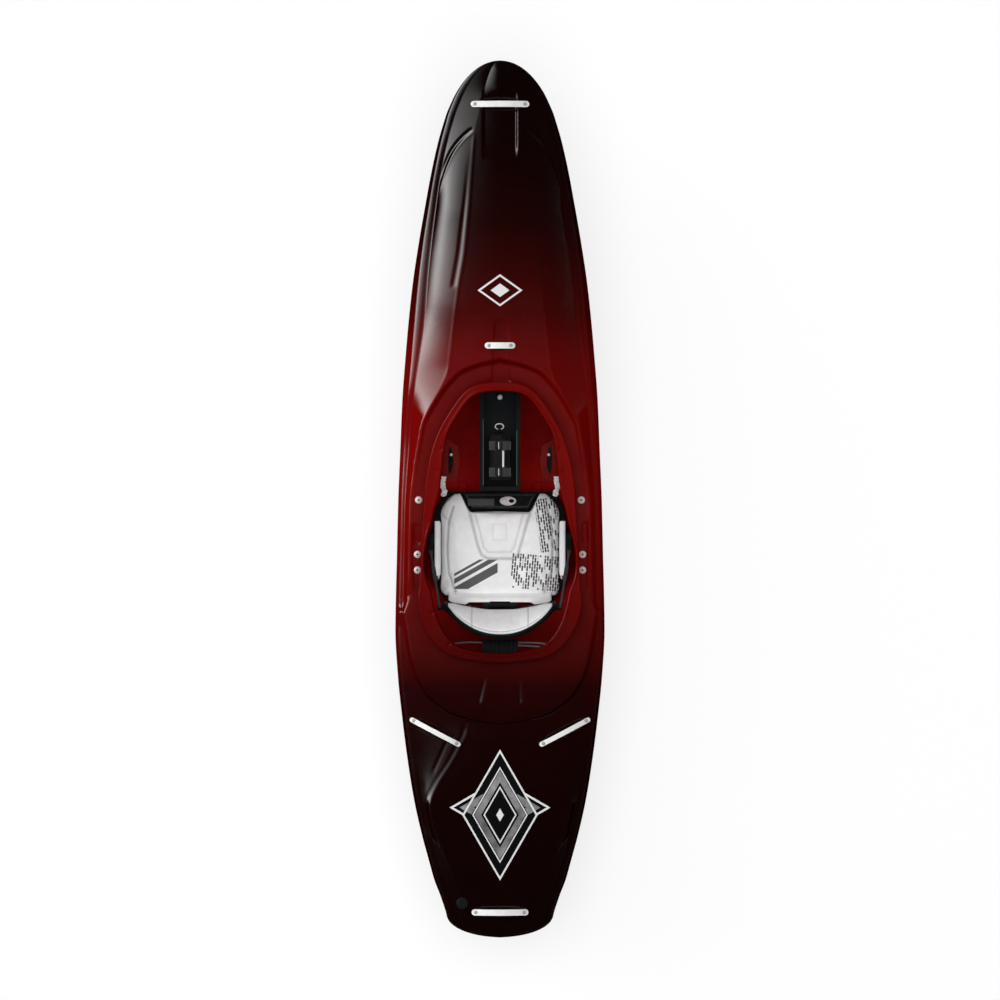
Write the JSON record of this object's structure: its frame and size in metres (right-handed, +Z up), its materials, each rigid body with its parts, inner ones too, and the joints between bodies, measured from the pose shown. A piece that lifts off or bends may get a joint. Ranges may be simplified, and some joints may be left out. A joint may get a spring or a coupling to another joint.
{
  "type": "whitewater kayak",
  "caption": "Short whitewater kayak with a cockpit, padded seat, folding backband, sliding foot and thigh braces, deck grab bars and a drain plug.",
  "frame": {"origin": "on the ground under the middle of the boat's box, under its flat bottom", "axes": "+X to the bow, +Y to port, +Z up"},
  "size_m": [2.738, 0.656, 0.3764],
  "materials": {
    "hull_plastic": "satin roto-moulded, dark red fading to black at both ends",
    "bar_plastic": "satin",
    "black_plastic": "moulded grain",
    "brace_plastic": "satin",
    "foam": "closed-cell foam",
    "seat_cloth": "coated cloth",
    "webbing": "woven webbing",
    "seal_rubber": "matt",
    "steel": "brushed"
  },
  "bodies": {
    "hull": {"hull_shell": "hull_plastic", "bow_grab_bar": "bar_plastic", "deck_bar": "bar_plastic", "stern_grab_bar": "bar_plastic", "rear_bar_left": "bar_plastic", "rear_bar_right": "bar_plastic", "bow_grab_bar_screw_a": "steel", "bow_grab_bar_screw_b": "steel", "deck_bar_screw_a": "steel", "deck_bar_screw_b": "steel", "stern_grab_bar_screw_a": "steel", "stern_grab_bar_screw_b": "steel", "rear_bar_left_screw_a": "steel", "rear_bar_left_screw_b": "steel", "rear_bar_right_screw_a": "steel", "rear_bar_right_screw_b": "steel", "side_screw_left_1": "steel", "side_screw_left_2": "steel", "side_screw_left_3": "steel", "side_screw_right_1": "steel", "side_screw_right_2": "steel", "side_screw_right_3": "steel", "drain_insert": "black_plastic", "seat_rail_left": "black_plastic", "seat_rail_right": "black_plastic", "front_pillar": "foam", "pillar_roll": "foam", "pillar_strap_front": "webbing", "pillar_strap_rear": "webbing", "tray_bolt": "steel", "tray_clip": "steel", "rear_pillar": "foam", "thigh_bracket_left": "black_plastic", "thigh_bracket_right": "black_plastic", "foot_rail_left": "black_plastic", "foot_rail_right": "black_plastic"},
    "seat": {"seat_pan": "black_plastic", "seat_cushion": "seat_cloth", "hip_pad_left": "foam", "hip_pad_right": "foam", "ratchet_base_left": "black_plastic", "ratchet_base_right": "black_plastic", "ladder_strap_left": "webbing", "ladder_strap_right": "webbing"},
    "leg_lifter": {"leg_lifter": "black_plastic", "lifter_buckle": "steel"},
    "backband": {"backband_pad": "seat_cloth", "backband_shell": "black_plastic"},
    "ratchet_lever_left": {"ratchet_lever_left": "black_plastic"},
    "ratchet_lever_right": {"ratchet_lever_right": "black_plastic"},
    "footplate_left": {"footplate_left": "black_plastic", "foot_pad_left": "foam"},
    "footplate_right": {"footplate_right": "black_plastic", "foot_pad_right": "foam"},
    "thigh_brace_left": {"thigh_brace_left": "brace_plastic", "thigh_pad_left": "foam"},
    "thigh_brace_right": {"thigh_brace_right": "brace_plastic", "thigh_pad_right": "foam"},
    "drain_seal": {"drain_seal": "seal_rubber"},
    "drain_plug": {"drain_plug": "black_plastic"}
  },
  "joints": [
    {"name": "seat_slide", "type": "slide", "parent": "hull", "child": "seat", "axis": [1, 0, 0], "range_m": [-0.02, 0]},
    {"name": "leg_lifter_tilt", "type": "hinge", "parent": "seat", "child": "leg_lifter", "pos_m": [-0.03, 0, 0.0509], "axis": [0, -1, 0], "range_deg": [0, 12]},
    {"name": "backband_tilt", "type": "hinge", "parent": "seat", "child": "backband", "pos_m": [-0.332, 0, 0.1], "axis": [0, 1, 0], "range_deg": [0, 30], "deforming": ["ladder_strap_left", "ladder_strap_right"]},
    {"name": "ratchet_lever_left_lift", "type": "hinge", "parent": "seat", "child": "ratchet_lever_left", "pos_m": [-0.1088, 0.217, 0.1878], "axis": [0, 1, 0], "range_deg": [0, 35], "stiffness_Nm_per_rad": 0.05, "springref_deg": -17.19},
    {"name": "ratchet_lever_right_lift", "type": "hinge", "parent": "seat", "child": "ratchet_lever_right", "pos_m": [-0.1088, -0.217, 0.1878], "axis": [0, 1, 0], "range_deg": [0, 35], "stiffness_Nm_per_rad": 0.05, "springref_deg": -17.19},
    {"name": "footplate_left_slide", "type": "slide", "parent": "hull", "child": "footplate_left", "axis": [0.9863, -0.165, 0], "range_m": [-0.12, 0.12]},
    {"name": "footplate_right_slide", "type": "slide", "parent": "hull", "child": "footplate_right", "axis": [0.9863, 0.165, 0], "range_m": [-0.12, 0.12]},
    {"name": "thigh_brace_left_slide", "type": "slide", "parent": "hull", "child": "thigh_brace_left", "axis": [1, 0, 0], "range_m": [-0.02, 0.02]},
    {"name": "thigh_brace_right_slide", "type": "slide", "parent": "hull", "child": "thigh_brace_right", "axis": [1, 0, 0], "range_m": [-0.02, 0.02]},
    {"name": "drain_lift", "type": "slide", "parent": "hull", "child": "drain_seal", "axis": [0, 0, 1], "range_m": [0, 0.0091]},
    {"name": "drain_turn", "type": "hinge", "parent": "drain_seal", "child": "drain_plug", "pos_m": [-1.262, 0.118, 0.2481], "axis": [0, 0, 1], "range_deg": [0, 1080]}
  ],
  "couplings": [
    {"joint": "drain_lift", "follows": "drain_turn", "m_per_rad": 0.00047746}
  ]
}
